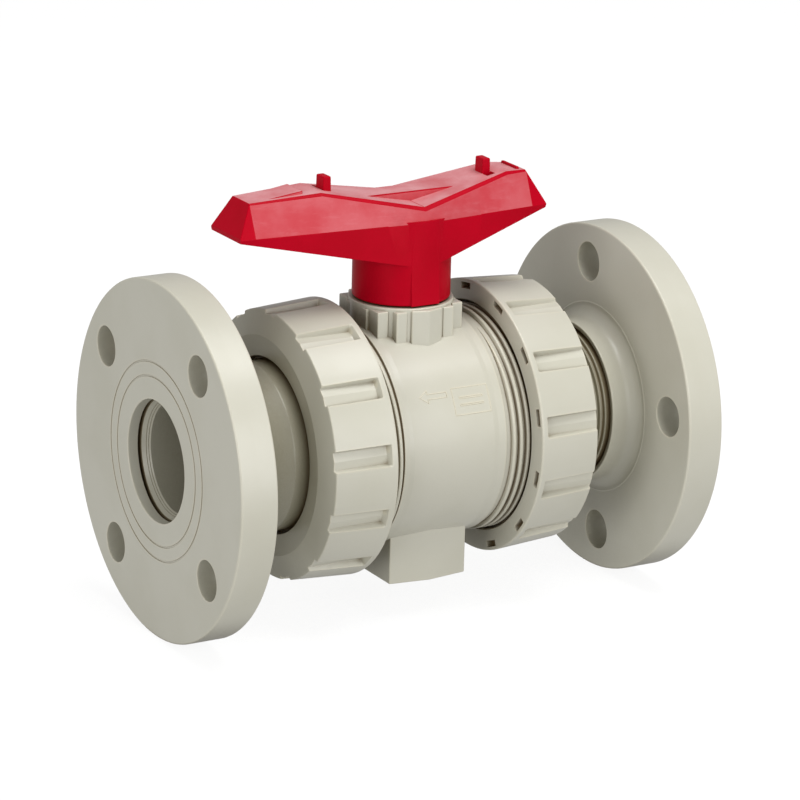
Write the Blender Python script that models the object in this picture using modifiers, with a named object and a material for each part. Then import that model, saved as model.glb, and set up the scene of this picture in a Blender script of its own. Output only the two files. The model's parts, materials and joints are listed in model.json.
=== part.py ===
"""Flanged true-union ball valve, DN 50, in moulded polypropylene with a red quarter-turn handle.

Frame: metres, +Z up along the stem, X along the pipe, origin where the stem axis meets the pipe axis.
Every length below is in millimetres and is turned into metres by MM where it is used.
"""
import bmesh
import bpy
from math import asin, cos, pi, radians, sin
from mathutils import Matrix, Vector

MM = 0.001

# ---- driving dimensions, mm --------------------------------------------------------------------
GAP = 0.3                    # between two pieces that touch
BORE_R = 24.5                # waterway
BALL_R = 38.5

# barrel of the valve body
BARREL_R = 50.6
BARREL_HALF = 26.5           # half length of the plain barrel
BODY_END = 55.5              # end faces of the body, from the stem axis
CAVITY_R = 40.2
CAVITY_LEFT = 27.0           # depth of the ball chamber on the fixed-seat side
CARRIER_STEP = 33.3          # where the ball chamber widens for the seat carrier
CARRIER_R = 45.0

# union thread
PITCH = 3.6
MALE_CREST_R = 51.0
THREAD_DEPTH = 2.0
THREAD_CLEARANCE = 0.9       # radial, enough for the flats of a turn
RIDGE_ROOT, RIDGE_CREST = 1.9, 1.0
THREAD_ROOT = 0.9            # how far a ridge sinks into the wall that carries it
MALE_START = 29.75           # middle of the first ridge, from the stem axis
MALE_START_ANGLE = 200.0     # off the barrel's own flats
MALE_TURNS = 5.0
FEMALE_TURNS = 2.0

# union nuts
NUT_LEFT, NUT_RIGHT = 34.6, 37.9   # body-side edge of each nut: the right one is backed off a little
NUT_LENGTH = 32.7
NUT_R, NUT_RIM_R = 61.9, 60.1
NUT_RIM = 29.6               # from the body-side edge to the rim of the end face
NUT_FACE_R = 49.0            # where the end face starts to dish inwards
NUT_LIP = 5.3
NUT_BORE_R = 39.3
NUT_DISH = 1.2               # how far the end face dishes in towards the bore
FLUTES = 13
FLUTE_WIDTH, FLUTE_DEPTH, FLUTE_START = 8.4, 3.2, 3.7
FLUTE_ANGLE = {"left": 171.4, "right": 170.1}
POCKET_R, POCKET_HEIGHT, POCKET_WIDTH, POCKET_DEPTH, POCKET_TURN = 58.9, 2.4, 7.2, 5.0, -4.4

# end connectors
COLLAR_R, COLLAR = 49.2, 5.8
NECK_R, NECK_END = 37.6, 72.0
TUBE_R, TUBE_START, TUBE_END = 33.2, 81.0, 113.6
BEAD_AT, BEAD_R, BEAD_WIDTH = 87.9, 34.6, 1.6

# flanges
FLANGE_FACE = 120.2
FLANGE_R, FLANGE_THICK = 80.0, 17.4
FLANGE_EDGE = 0.9
FACE_BORE_R, FACE_BORE_DEPTH = 27.2, 5.0
HUB_END, HUB_R, HUB_FILLET = 90.2, 37.0, 6.0
HUB_LIP = 1.6
BOLT_CIRCLE_R, BOLT_HOLE_R, BOLTS = 62.5, 9.0, 4
BOLT_ANGLE = {"left": 38.3, "right": 82.9}

# seats and rings
SEAT_R, SEAT_OUTER_R, SEAT_BACK = 25.0, 35.0, 33.0
SEAT_LIP_R = 33.0
RING_D = 3.0                 # section of the seat and face rings
RING_R = 31.0
CARRIER_RING_AT = 41.5
SPANNER_SLOT, SPANNER_SLOT_DEPTH = 8.0, 5.0          # the two slots that the handle's lugs fit

# stem
STEM_R, STEM_HOLE_CLEARANCE = 11.8, 0.3
STEM_COLLAR_R, STEM_COLLAR_Z, STEM_COLLAR = 14.0, 39.0, 3.4
WASHER = 1.5
STEM_TOP = 60.0
STEM_RING_D = 2.6
STEM_RINGS = {"lower": 48.6, "upper": 54.6}
SQUARE, SQUARE_TOP = 16.0, 77.5
TANG_THICK, TANG_WIDTH, TANG_BOTTOM = 8.8, 23.0, 32.2

# tower round the stem
TOWER_TOP, TOWER_R = 60.5, 23.3
RIB_TOP = 59.2
SIDE_RIB_X, SIDE_RIB_WIDTH = 22.75, 8.7
RIB_GAP = 1.6                # between neighbouring ribs
RIBS = ((9.0, 14.4, 21.9), (16.0, 21.4, 17.5))       # inner x, outer x and reach in y of the paired ribs
FRONT_RIB = (7.5, 23.4, 25.5)                        # half width, reach at its edges and at its middle
SIDE_RIB_DROP = 0.4          # how far the side ribs' tops lie under the others
TOWER_ROOT = 0.8             # the tower starts inside the barrel wall, at this share of its radius

# foot
FOOT_HALF, FOOT_BOTTOM, FOOT_EDGE_Y, FOOT_MIDDLE_Y = 19.3, -62.8, 29.5, 32.0
FOOT_ROOT = 0.6              # the foot starts inside the barrel wall, at this share of its radius

# handle
HUB_BOTTOM, HANDLE_HUB_R = 61.2, 21.8
PARTING_Z, KEEL_Z, SADDLE_Z = 98.0, 79.0, 104.6
KEEL_HALF = 7.0
MIDDLE_Y, TIP_Y = 20.6, 14.0
ARM = {"long": -87.4, "short": 65.4}
ARM_TOP = {"long": (-80.4, 112.2), "short": (57.6, 113.2)}
ARM_TOP_Y = 7.8
PEAK_X, PEAK_Y, PEAK_Z = 46.5, 10.0, 113.9
SADDLE_Y = 19.6
LUG_AT, LUG_X, LUG_Y, LUG_TOP = 40.1, 4.0, 7.2, 119.0
HANDLE_WALL = 4.0
BAND_Y = 21.9
BRIDGE_X, BRIDGE_Y, BRIDGE_TOP = 22.5, 6.3, 109.0    # flat bar across the saddle

# modelling
OVERCUT = 5.0                # how far a cutter runs past the face it opens
CHAMFER = 0.5
STEPS = 40                   # flats of a large turned piece
SMALL_STEPS = 28
BALL_STEPS = 24
THREAD_STEPS = 20
FILLET_STEPS = 3
BOLT_HOLE_STEPS = 20


# ---- scene and materials -----------------------------------------------------------------------
for old in list(bpy.data.objects):
    bpy.data.objects.remove(old, do_unlink=True)

parts = bpy.data.collections.new("union_ball_valve")
cutters = bpy.data.collections.new("cutters")
cutters.hide_render = True
for collection in (parts, cutters):
    bpy.context.scene.collection.children.link(collection)


def make_material(name, colour, roughness, metallic=0.0):
    """A Principled material of one colour."""
    material = bpy.data.materials.new(name)
    material.use_nodes = True
    shader = material.node_tree.nodes["Principled BSDF"]
    shader.inputs["Base Color"].default_value = (*colour, 1.0)
    shader.inputs["Roughness"].default_value = roughness
    shader.inputs["Metallic"].default_value = metallic
    return material


SHELL = make_material("moulded_shell", (0.56, 0.55, 0.46), 0.42)
RED = make_material("moulded_red", (0.62, 0.02, 0.03), 0.38)
SEAT = make_material("white_fluoroplastic", (0.86, 0.86, 0.84), 0.35)
RUBBER = make_material("black_rubber", (0.02, 0.02, 0.02), 0.6)


# ---- helpers -----------------------------------------------------------------------------------
OUTWARD = {"left": -90.0, "right": 90.0}    # turns a piece's own Z to point out along the pipe


def add_object(name, mesh, home=parts, material=SHELL):
    """Links a new object into a collection."""
    new = bpy.data.objects.new(name, mesh)
    home.objects.link(new)
    if home is cutters:
        new.hide_render = True
        new.display_type = "WIRE"
    else:
        mesh.materials.append(material)
        mesh.shade_smooth()
    return new


def turned(name, profile, steps=STEPS, home=parts, material=SHELL, side=None, closed=True):
    """A profile of (radius, height) points, down the outer side first, turned about the object's own Z."""
    mesh = bpy.data.meshes.new(name)
    count = len(profile)
    edges = [(i, (i + 1) % count) for i in range(count if closed else count - 1)]
    mesh.from_pydata([(r * MM, 0.0, h * MM) for r, h in profile], edges, [])
    new = add_object(name, mesh, home, material)
    screw = new.modifiers.new("turn", "SCREW")
    screw.steps = screw.render_steps = steps
    screw.use_merge_vertices = True
    screw.merge_threshold = 0.00001
    screw.use_smooth_shade = True
    if side:
        new.rotation_euler = (0.0, radians(OUTWARD[side]), 0.0)
    return new


def boxes(name, placements, home=cutters, material=SHELL):
    """One mesh of boxes. A placement is (sizes, matrix), in mm."""
    shape = bmesh.new()
    for size, place in placements:
        scale = Matrix.Diagonal((*size, 1.0))
        bmesh.ops.create_cube(shape, size=1.0, matrix=Matrix.Scale(MM, 4) @ place @ scale)
    mesh = bpy.data.meshes.new(name)
    shape.to_mesh(mesh)
    shape.free()
    return add_object(name, mesh, home, material)


def span_box(name, low, high, **options):
    """One box between two corners, in mm."""
    low, high = Vector(low), Vector(high)
    return boxes(name, [(high - low, Matrix.Translation((low + high) / 2))], **options)


def hull(name, points, home=cutters, material=SHELL):
    """The convex solid round some points, in mm."""
    shape = bmesh.new()
    for point in points:
        shape.verts.new(Vector(point) * MM)
    bmesh.ops.convex_hull(shape, input=shape.verts)
    bmesh.ops.recalc_face_normals(shape, faces=shape.faces)
    mesh = bpy.data.meshes.new(name)
    shape.to_mesh(mesh)
    shape.free()
    return add_object(name, mesh, home, material)


def ridge(name, root_r, crest_r, start, turns, start_angle, side, home=cutters):
    """A right-hand helical thread ridge, wider at its root than at its crest."""
    shape = bmesh.new()
    section = ((root_r, -RIDGE_ROOT / 2), (crest_r, -RIDGE_CREST / 2),
               (crest_r, RIDGE_CREST / 2), (root_r, RIDGE_ROOT / 2))
    corners = [shape.verts.new((r * MM, 0.0, (start + h) * MM)) for r, h in section]
    face = shape.faces.new(corners)
    count = round(turns * THREAD_STEPS)
    bmesh.ops.spin(shape, geom=[face, *face.edges, *face.verts], cent=(0, 0, 0), axis=(0, 0, 1),
                   dvec=(0, 0, PITCH * MM / THREAD_STEPS), angle=2 * pi * turns, steps=count)
    bmesh.ops.rotate(shape, verts=shape.verts, cent=(0, 0, 0),
                     matrix=Matrix.Rotation(radians(start_angle), 3, "Z"))
    bmesh.ops.recalc_face_normals(shape, faces=shape.faces)
    mesh = bpy.data.meshes.new(name)
    shape.to_mesh(mesh)
    shape.free()
    new = add_object(name, mesh, home)
    new.rotation_euler = (0.0, radians(OUTWARD[side]), 0.0)
    return new


def combine(target, other, operation="DIFFERENCE"):
    """Adds a Boolean that cuts the other object from the target, or joins it on."""
    boolean = target.modifiers.new(other.name, "BOOLEAN")
    boolean.operation = operation
    boolean.object = other
    boolean.solver = "EXACT"


def join(target, *others):
    for other in others:
        combine(target, other, "UNION")


def mirrored(corners):
    """Each corner and its mirror image across the pipe's upright plane."""
    return [(x, sign * y, z) for x, y, z in corners for sign in (-1, 1)]


def rounded_ring(centre_r, centre_h, diameter, sides=5):
    """The section of an O-ring as a profile, starting at its outer side and going down."""
    return [(centre_r + diameter / 2 * cos(pi / sides - 2 * pi * i / sides),
             centre_h + diameter / 2 * sin(pi / sides - 2 * pi * i / sides)) for i in range(sides)]


def o_ring(name, centre_r, centre_h, diameter, side=None):
    section = rounded_ring(centre_r, centre_h, diameter)
    return turned(name, section, SMALL_STEPS, material=RUBBER, side=side)


def ball_face(radius, count=5):
    """Points of the ball's surface plus the gap, from the bore out to a seat's lip radius."""
    sphere = BALL_R + GAP
    low, high = asin(SEAT_R / sphere), asin(radius / sphere)
    return [(sphere * sin(low + (high - low) * i / (count - 1)),
             sphere * cos(low + (high - low) * i / (count - 1))) for i in range(count)]


# ---- valve body --------------------------------------------------------------------------------
def groove_ring(radius, low, high):
    """A ring-shaped space for a seal, as a profile."""
    half = RING_D / 2 + GAP
    return [(radius + half, high), (radius + half, low), (radius - half, low), (radius - half, high)]


def seat_pocket():
    """The pocket that holds a seat and the ring behind it, as profile points from its mouth inwards."""
    back = SEAT_BACK + GAP
    deep = back + RING_D + GAP
    half = RING_D / 2 + GAP
    return [(SEAT_OUTER_R + GAP, back), (RING_R + half, back), (RING_R + half, deep), (RING_R - half, deep),
            (RING_R - half, back), (SEAT_R, back)]


def make_body():
    root_r = MALE_CREST_R - THREAD_DEPTH
    half = BARREL_HALF
    end_chamfer = 2 * CHAMFER
    upper = [(0.0, BODY_END), (root_r - end_chamfer, BODY_END), (root_r, BODY_END - end_chamfer),
             (root_r, half + CHAMFER), (BARREL_R - CHAMFER, half), (BARREL_R, half - CHAMFER)]
    outside = upper + [(r, -h) for r, h in reversed(upper)]
    body = turned("valve_body", outside, side="right", closed=False)

    foot = [(x, y, z) for z in (FOOT_BOTTOM, -BARREL_R * FOOT_ROOT)
            for x, y in ((-FOOT_HALF, FOOT_EDGE_Y), (0, FOOT_MIDDLE_Y), (FOOT_HALF, FOOT_EDGE_Y),
                         (FOOT_HALF, -FOOT_EDGE_Y), (0, -FOOT_MIDDLE_Y), (-FOOT_HALF, -FOOT_EDGE_Y))]
    join(body, hull("foot", foot))

    tower_base = BARREL_R * TOWER_ROOT
    tower = turned("tower", [(0.0, TOWER_TOP), (TOWER_R - CHAMFER, TOWER_TOP), (TOWER_R, TOWER_TOP - CHAMFER),
                             (TOWER_R, tower_base), (0.0, tower_base)], SMALL_STEPS, cutters, closed=False)
    middle, edge_y, apex_y = FRONT_RIB
    front = hull("front_rib", [(x, y, z) for z in (tower_base, RIB_TOP)
                               for x, y in ((-middle, -edge_y), (0, -apex_y), (middle, -edge_y),
                                            (middle, edge_y), (0, apex_y), (-middle, edge_y))])
    paired = []
    for near, far, reach in RIBS:
        for sign in (-1, 1):
            low, high = sorted((sign * near, sign * far))
            paired.append(((high - low, 2 * reach, RIB_TOP - tower_base),
                           Matrix.Translation(((low + high) / 2, 0, (RIB_TOP + tower_base) / 2))))
    ribs = boxes("tower_ribs", paired)
    side_top = RIB_TOP - SIDE_RIB_DROP
    side_y, side_z = (SIDE_RIB_WIDTH + RIB_GAP) / 2, (side_top + tower_base) / 2
    side_size = (2 * SIDE_RIB_X, SIDE_RIB_WIDTH, side_top - tower_base)
    sides = boxes("side_ribs", [(side_size, Matrix.Translation((0, sign * side_y, side_z))) for sign in (-1, 1)])
    join(body, tower, front, ribs, sides)

    for side in ("left", "right"):
        male = ridge(f"male_thread_{side}", root_r - THREAD_ROOT, MALE_CREST_R, MALE_START, MALE_TURNS,
                     MALE_START_ANGLE, side)
        join(body, male)

    far = BODY_END + OVERCUT
    chamber = [(0.0, far), (CARRIER_R + GAP, far), (CARRIER_R + GAP, CARRIER_STEP), (CAVITY_R, CARRIER_STEP),
               (CAVITY_R, -CAVITY_LEFT)]
    chamber += [(r, -h) for r, h in [(SEAT_OUTER_R + GAP, CAVITY_LEFT)] + seat_pocket()]
    chamber += [(SEAT_R, -far), (0.0, -far)]
    combine(body, turned("chamber", chamber, SMALL_STEPS, cutters, side="right", closed=False))

    face_groove = groove_ring(RING_R, BODY_END - RING_D - GAP, BODY_END + OVERCUT)
    combine(body, turned("face_groove_left", face_groove, SMALL_STEPS, cutters, side="left"))

    collar_r = STEM_COLLAR_R + STEM_HOLE_CLEARANCE
    shoulder = STEM_COLLAR_Z + STEM_COLLAR + WASHER + 2 * GAP
    hole_r = STEM_R + STEM_HOLE_CLEARANCE
    above, below = TOWER_TOP + OVERCUT, STEM_COLLAR_Z - OVERCUT
    stem_hole = [(0.0, above), (hole_r, above), (hole_r, shoulder), (collar_r, shoulder),
                 (collar_r, below), (0.0, below)]
    combine(body, turned("stem_hole", stem_hole, SMALL_STEPS, cutters, closed=False))
    return body


# ---- ball, seats and rings ---------------------------------------------------------------------
def make_ball():
    mesh = bpy.data.meshes.new("ball")
    shape = bmesh.new()
    bmesh.ops.create_uvsphere(shape, u_segments=BALL_STEPS, v_segments=BALL_STEPS // 2, radius=BALL_R * MM)
    shape.to_mesh(mesh)
    shape.free()
    ball = add_object("ball", mesh)
    far = BALL_R + OVERCUT
    waterway = turned("ball_waterway", [(0.0, far), (BORE_R, far), (BORE_R, -far), (0.0, -far)],
                      SMALL_STEPS, cutters, side="right", closed=False)
    combine(ball, waterway)
    slot = TANG_THICK / 2 + GAP
    combine(ball, span_box("drive_slot", (-slot, -BALL_R, TANG_BOTTOM - GAP), (slot, BALL_R, far)))
    return ball


def make_seat(side):
    concave = ball_face(SEAT_LIP_R)
    lip = concave[-1][1]
    outline = [(SEAT_OUTER_R, SEAT_BACK), (SEAT_OUTER_R, lip)] + concave[::-1] + [(SEAT_R, SEAT_BACK)]
    turned(f"seat_{side}", outline, SMALL_STEPS, material=SEAT, side=side)
    o_ring(f"seat_ring_{side}", RING_R, SEAT_BACK + GAP + (RING_D + GAP) / 2, RING_D, side)


def make_carrier():
    """The screwed ring that holds the right-hand seat against the ball."""
    nose = ball_face(SEAT_LIP_R)[-1][1] + 2 * GAP
    nose_r = CAVITY_R - GAP
    step = CARRIER_STEP + GAP
    face = BODY_END - GAP
    profile = [(CARRIER_R, face), (CARRIER_R, step), (nose_r, step), (nose_r, nose),
               (SEAT_OUTER_R + GAP, nose)] + seat_pocket() + [(SEAT_R, face)]
    carrier = turned("seat_carrier", profile, SMALL_STEPS, side="right")
    low, high = CARRIER_RING_AT - RING_D / 2 - GAP, CARRIER_RING_AT + RING_D / 2 + GAP
    floor, outside = CARRIER_R - RING_D, CARRIER_R + OVERCUT
    ring_groove = [(outside, high), (outside, low), (floor, low), (floor, high)]
    combine(carrier, turned("carrier_ring_groove", ring_groove, SMALL_STEPS, cutters, side="right"))
    face_groove = groove_ring(RING_R, face - RING_D - GAP, face + OVERCUT)
    combine(carrier, turned("face_groove_right", face_groove, SMALL_STEPS, cutters, side="right"))
    reach = LUG_AT - LUG_X / 2 - 2 * GAP
    length = CARRIER_R + OVERCUT - reach
    slot_size = (2 * SPANNER_SLOT_DEPTH, SPANNER_SLOT, length)
    combine(carrier, boxes("spanner_slots", [
        (slot_size, Matrix.Translation((face, 0, sign * (reach + length / 2)))) for sign in (-1, 1)]))
    o_ring("seat_carrier_ring", floor + RING_D / 2 + GAP, CARRIER_RING_AT, RING_D - GAP, "right")


def make_face_rings():
    for side, face in (("left", BODY_END), ("right", BODY_END - GAP)):
        o_ring(f"face_ring_{side}", RING_R, face - RING_D / 2 - GAP / 2, RING_D - GAP / 2, side)


# ---- stem --------------------------------------------------------------------------------------
def make_stem():
    collar_top = STEM_COLLAR_Z + STEM_COLLAR
    profile = [(0.0, STEM_TOP), (STEM_R - CHAMFER, STEM_TOP), (STEM_R, STEM_TOP - CHAMFER)]
    half = STEM_RING_D / 2 + GAP / 2
    floor = STEM_R - STEM_RING_D + GAP
    for height in sorted(STEM_RINGS.values(), reverse=True):
        profile += [(STEM_R, height + half), (floor, height + half),
                    (floor, height - half), (STEM_R, height - half)]
    profile += [(STEM_R, collar_top), (STEM_COLLAR_R, collar_top), (STEM_COLLAR_R, STEM_COLLAR_Z),
                (0.0, STEM_COLLAR_Z)]
    stem = turned("stem", profile, SMALL_STEPS, closed=False)
    flat = SQUARE / 2
    join(stem, span_box("stem_square", (-flat, -flat, STEM_TOP - CHAMFER), (flat, flat, SQUARE_TOP)),
         span_box("stem_tang", (-TANG_THICK / 2, -TANG_WIDTH / 2, TANG_BOTTOM),
                  (TANG_THICK / 2, TANG_WIDTH / 2, STEM_COLLAR_Z + CHAMFER)))
    for place, height in STEM_RINGS.items():
        o_ring(f"stem_ring_{place}", floor + STEM_RING_D / 2, height, STEM_RING_D - GAP)
    low = collar_top + GAP
    turned("stem_washer", [(STEM_COLLAR_R, low + WASHER), (STEM_COLLAR_R, low),
                           (STEM_R + GAP, low), (STEM_R + GAP, low + WASHER)], SMALL_STEPS, material=SEAT)


# ---- handle ------------------------------------------------------------------------------------
def make_handle():
    hub = [(0.0, PARTING_Z), (HANDLE_HUB_R, PARTING_Z), (HANDLE_HUB_R, HUB_BOTTOM + CHAMFER),
           (HANDLE_HUB_R - CHAMFER, HUB_BOTTOM), (0.0, HUB_BOTTOM)]
    handle = turned("handle", hub, material=RED, closed=False)
    arms = (("long", -1), ("short", 1))
    for arm, sign in arms:
        top_x, top_z = ARM_TOP[arm]
        corners = [(ARM[arm], TIP_Y, PARTING_Z), (0, MIDDLE_Y, PARTING_Z), (0, MIDDLE_Y, KEEL_Z),
                   (sign * KEEL_HALF, MIDDLE_Y, KEEL_Z), (top_x, ARM_TOP_Y, top_z),
                   (sign * PEAK_X, PEAK_Y, PEAK_Z), (0, SADDLE_Y, SADDLE_Z)]
        join(handle, hull(f"{arm}_arm", mirrored(corners)))
    join(handle,
         span_box("hub_band", (-KEEL_HALF, -BAND_Y, HUB_BOTTOM), (KEEL_HALF, BAND_Y, PARTING_Z)),
         span_box("bridge", (-BRIDGE_X, -BRIDGE_Y, PARTING_Z), (BRIDGE_X, BRIDGE_Y, BRIDGE_TOP)))
    lug_size = (LUG_X, LUG_Y, LUG_TOP - PARTING_Z)
    join(handle, boxes("lugs", [
        (lug_size, Matrix.Translation((sign * LUG_AT, 0, (LUG_TOP + PARTING_Z) / 2))) for sign in (-1, 1)]))

    wall = HANDLE_WALL
    for arm, sign in arms:
        top_x, top_z = ARM_TOP[arm]
        root = sign * (HANDLE_HUB_R + wall)
        inside = [(ARM[arm] - sign * 2.2 * wall, TIP_Y - wall, KEEL_Z + OVERCUT),
                  (root, MIDDLE_Y - 1.6 * wall, KEEL_Z - 2 * OVERCUT),
                  (top_x - sign * 1.5 * wall, ARM_TOP_Y - wall, top_z - 1.5 * wall),
                  (sign * PEAK_X, PEAK_Y - wall, PEAK_Z - 1.5 * wall),
                  (root, MIDDLE_Y - 2.4 * wall, SADDLE_Z - wall)]
        combine(handle, hull(f"{arm}_arm_hollow", mirrored(inside)))
    socket = SQUARE / 2 + GAP
    combine(handle, span_box("handle_socket", (-socket, -socket, HUB_BOTTOM - OVERCUT),
                             (socket, socket, SQUARE_TOP + 2 * GAP)))


# ---- unions: connector, nut and flange on each side --------------------------------------------
def make_connector(side):
    start = BODY_END + GAP
    collar_end = start + COLLAR
    bead = BEAD_WIDTH / 2
    profile = [(TUBE_R - CHAMFER, TUBE_END), (TUBE_R, TUBE_END - CHAMFER),
               (TUBE_R, BEAD_AT + 2 * bead), (BEAD_R, BEAD_AT + bead), (BEAD_R, BEAD_AT - bead),
               (TUBE_R, BEAD_AT - 2 * bead), (TUBE_R, TUBE_START), (NECK_R, NECK_END),
               (NECK_R, collar_end), (COLLAR_R, collar_end), (COLLAR_R, start), (BORE_R, start),
               (BORE_R, TUBE_END)]
    turned(f"end_connector_{side}", profile, SMALL_STEPS, side=side)


def place_round_pipe(x, radius, angle):
    """A frame at a radius and an angle round the pipe, with its Y pointing out from the pipe axis."""
    return Matrix.Rotation(radians(angle), 4, "X") @ Matrix.Translation((x, radius, 0))


def make_nut(side, start):
    sign = -1 if side == "left" else 1
    end = start + NUT_LENGTH
    clear_r = MALE_CREST_R + THREAD_CLEARANCE
    lip = end - NUT_LIP
    profile = [(NUT_FACE_R, end), (NUT_RIM_R, start + NUT_RIM), (NUT_R, start + CHAMFER),
               (NUT_R - CHAMFER, start), (clear_r + CHAMFER, start), (clear_r, start + CHAMFER),
               (clear_r, lip), (NUT_BORE_R, lip), (NUT_BORE_R, end - NUT_DISH)]
    nut = turned(f"union_nut_{side}", profile, STEPS, side=side)

    floor_r = NUT_R - FLUTE_DEPTH
    depth = FLUTE_DEPTH + OVERCUT
    angles = [FLUTE_ANGLE[side] + i * 360.0 / FLUTES for i in range(FLUTES)]
    middle = sign * (start + FLUTE_START + NUT_LENGTH / 2)
    flute_size = (NUT_LENGTH, depth, FLUTE_WIDTH)
    combine(nut, boxes(f"flutes_{side}", [
        (flute_size, place_round_pipe(middle, floor_r + depth / 2, a)) for a in angles]))
    pocket_size = (2 * POCKET_DEPTH, POCKET_HEIGHT, POCKET_WIDTH)
    combine(nut, boxes(f"pockets_{side}", [
        (pocket_size, place_round_pipe(sign * start, POCKET_R, a + POCKET_TURN)) for a in angles]))

    gap_middle = MALE_START + PITCH / 2
    turns_in = int((start + RIDGE_ROOT - gap_middle) / PITCH) + 1
    crest_r = MALE_CREST_R - THREAD_DEPTH + THREAD_CLEARANCE
    female = ridge(f"female_thread_{side}", clear_r + THREAD_ROOT, crest_r,
                   gap_middle + turns_in * PITCH, FEMALE_TURNS, MALE_START_ANGLE, side)
    join(nut, female)


def make_flange(side):
    back = FLANGE_FACE - FLANGE_THICK
    socket = TUBE_R + GAP
    shoulder = FLANGE_FACE - FACE_BORE_DEPTH
    edge = FLANGE_EDGE
    turns = [i * pi / 2 / FILLET_STEPS for i in range(FILLET_STEPS + 1)]
    fillet = [(HUB_R + HUB_FILLET * (1 - sin(turn)), back - HUB_FILLET * (1 - cos(turn))) for turn in turns]
    profile = [(FACE_BORE_R, FLANGE_FACE), (FLANGE_R - edge, FLANGE_FACE), (FLANGE_R, FLANGE_FACE - edge),
               (FLANGE_R, back + edge), (FLANGE_R - edge, back)] + fillet + [
        (HUB_R, HUB_END + CHAMFER), (HUB_R - CHAMFER, HUB_END), (socket + HUB_LIP, HUB_END),
        (socket, HUB_END + HUB_LIP), (socket, shoulder), (FACE_BORE_R, shoulder)]
    flange = turned(f"flange_{side}", profile, side=side)

    sign = -1 if side == "left" else 1
    middle = sign * (FLANGE_FACE + back) / 2
    along_pipe = Matrix.Rotation(pi / 2, 4, "Y")
    holes = bmesh.new()
    for i in range(BOLTS):
        place = place_round_pipe(middle, BOLT_CIRCLE_R, BOLT_ANGLE[side] + i * 360 / BOLTS)
        matrix = Matrix.Translation(place.translation * MM) @ along_pipe
        bmesh.ops.create_cone(holes, cap_ends=True, segments=BOLT_HOLE_STEPS, radius1=BOLT_HOLE_R * MM,
                              radius2=BOLT_HOLE_R * MM, depth=2 * FLANGE_THICK * MM, matrix=matrix)
    mesh = bpy.data.meshes.new(f"bolt_holes_{side}")
    holes.to_mesh(mesh)
    holes.free()
    combine(flange, add_object(f"bolt_holes_{side}", mesh, cutters))


# ---- the valve ---------------------------------------------------------------------------------
make_body()
make_ball()
for valve_side in ("left", "right"):
    make_seat(valve_side)
    make_connector(valve_side)
    make_flange(valve_side)
make_nut("left", NUT_LEFT)
make_nut("right", NUT_RIGHT)
make_carrier()
make_face_rings()
make_stem()
make_handle()
print("bore", 2 * BORE_R, "mm, face to face", 2 * FLANGE_FACE, "mm")
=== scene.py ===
# %% [markdown]
# # A flanged union ball valve
#
# The valve is moulded in beige-grey polypropylene and has a red two-armed handle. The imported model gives
# every piece its place and size. This lesson makes the surfaces that a person sees: rounded edges, helical
# threads, fluted nuts, drilled flanges, and two plastics with the small marks that moulding leaves.

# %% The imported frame
import json
from math import asin, cos, hypot, pi, radians, sin, tan

import bmesh
import bpy
from mathutils import Matrix, Vector

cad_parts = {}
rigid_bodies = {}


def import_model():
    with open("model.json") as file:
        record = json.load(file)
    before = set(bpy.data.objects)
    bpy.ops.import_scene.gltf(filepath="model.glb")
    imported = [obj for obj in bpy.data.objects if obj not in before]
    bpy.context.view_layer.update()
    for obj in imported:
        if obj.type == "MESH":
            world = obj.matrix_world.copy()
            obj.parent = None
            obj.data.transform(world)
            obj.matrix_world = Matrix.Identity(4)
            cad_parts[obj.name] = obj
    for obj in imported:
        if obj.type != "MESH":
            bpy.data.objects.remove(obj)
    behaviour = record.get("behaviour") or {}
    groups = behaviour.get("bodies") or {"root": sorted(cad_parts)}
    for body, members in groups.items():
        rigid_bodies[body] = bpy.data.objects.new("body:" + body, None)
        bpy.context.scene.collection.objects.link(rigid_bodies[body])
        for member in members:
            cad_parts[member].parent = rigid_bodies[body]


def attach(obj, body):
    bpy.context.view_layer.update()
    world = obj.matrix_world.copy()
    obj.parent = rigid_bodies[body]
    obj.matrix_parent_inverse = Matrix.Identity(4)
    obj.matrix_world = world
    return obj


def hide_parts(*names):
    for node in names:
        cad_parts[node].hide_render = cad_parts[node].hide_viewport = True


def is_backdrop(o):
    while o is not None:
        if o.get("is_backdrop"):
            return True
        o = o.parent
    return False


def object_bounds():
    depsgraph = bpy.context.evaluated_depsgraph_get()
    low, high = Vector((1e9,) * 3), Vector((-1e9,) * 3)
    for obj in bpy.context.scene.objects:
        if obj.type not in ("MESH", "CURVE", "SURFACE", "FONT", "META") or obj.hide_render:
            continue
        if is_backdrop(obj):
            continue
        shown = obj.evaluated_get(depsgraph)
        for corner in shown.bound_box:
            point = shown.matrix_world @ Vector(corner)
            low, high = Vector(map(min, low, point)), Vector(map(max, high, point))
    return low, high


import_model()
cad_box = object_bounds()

MM = 0.001

# %% [markdown]
# ## Node trees as Python
#
# Shader and geometry trees are easier to read as sums. `Wire` wraps a socket, so `1 - mask` adds the Math
# node it needs. `Tree` adds every other node.


# %% Wires and trees
def operator(operation):
    """A method that joins a wire to another wire or to a number."""
    return lambda wire, other: wire.math(operation, other)


class Wire:
    """A number flowing through a node tree."""

    def __init__(self, tree, socket):
        self.tree, self.socket = tree, socket

    def math(self, operation, *others):
        return self.tree.wire("ShaderNodeMath", {"operation": operation}, self, *others)

    __add__ = __radd__ = operator("ADD")
    __sub__ = operator("SUBTRACT")
    __mul__ = __rmul__ = operator("MULTIPLY")
    __truediv__ = operator("DIVIDE")

    def __rsub__(self, other):
        return (self * -1) + other

    def __abs__(self):
        return self.math("ABSOLUTE")

    def step(self, low, high):
        """A soft step from 0 at low to 1 at high."""
        node = self.tree.add("ShaderNodeMapRange", {"interpolation_type": "SMOOTHSTEP"}, self, low, high)
        return node.wire("Result")


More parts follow.
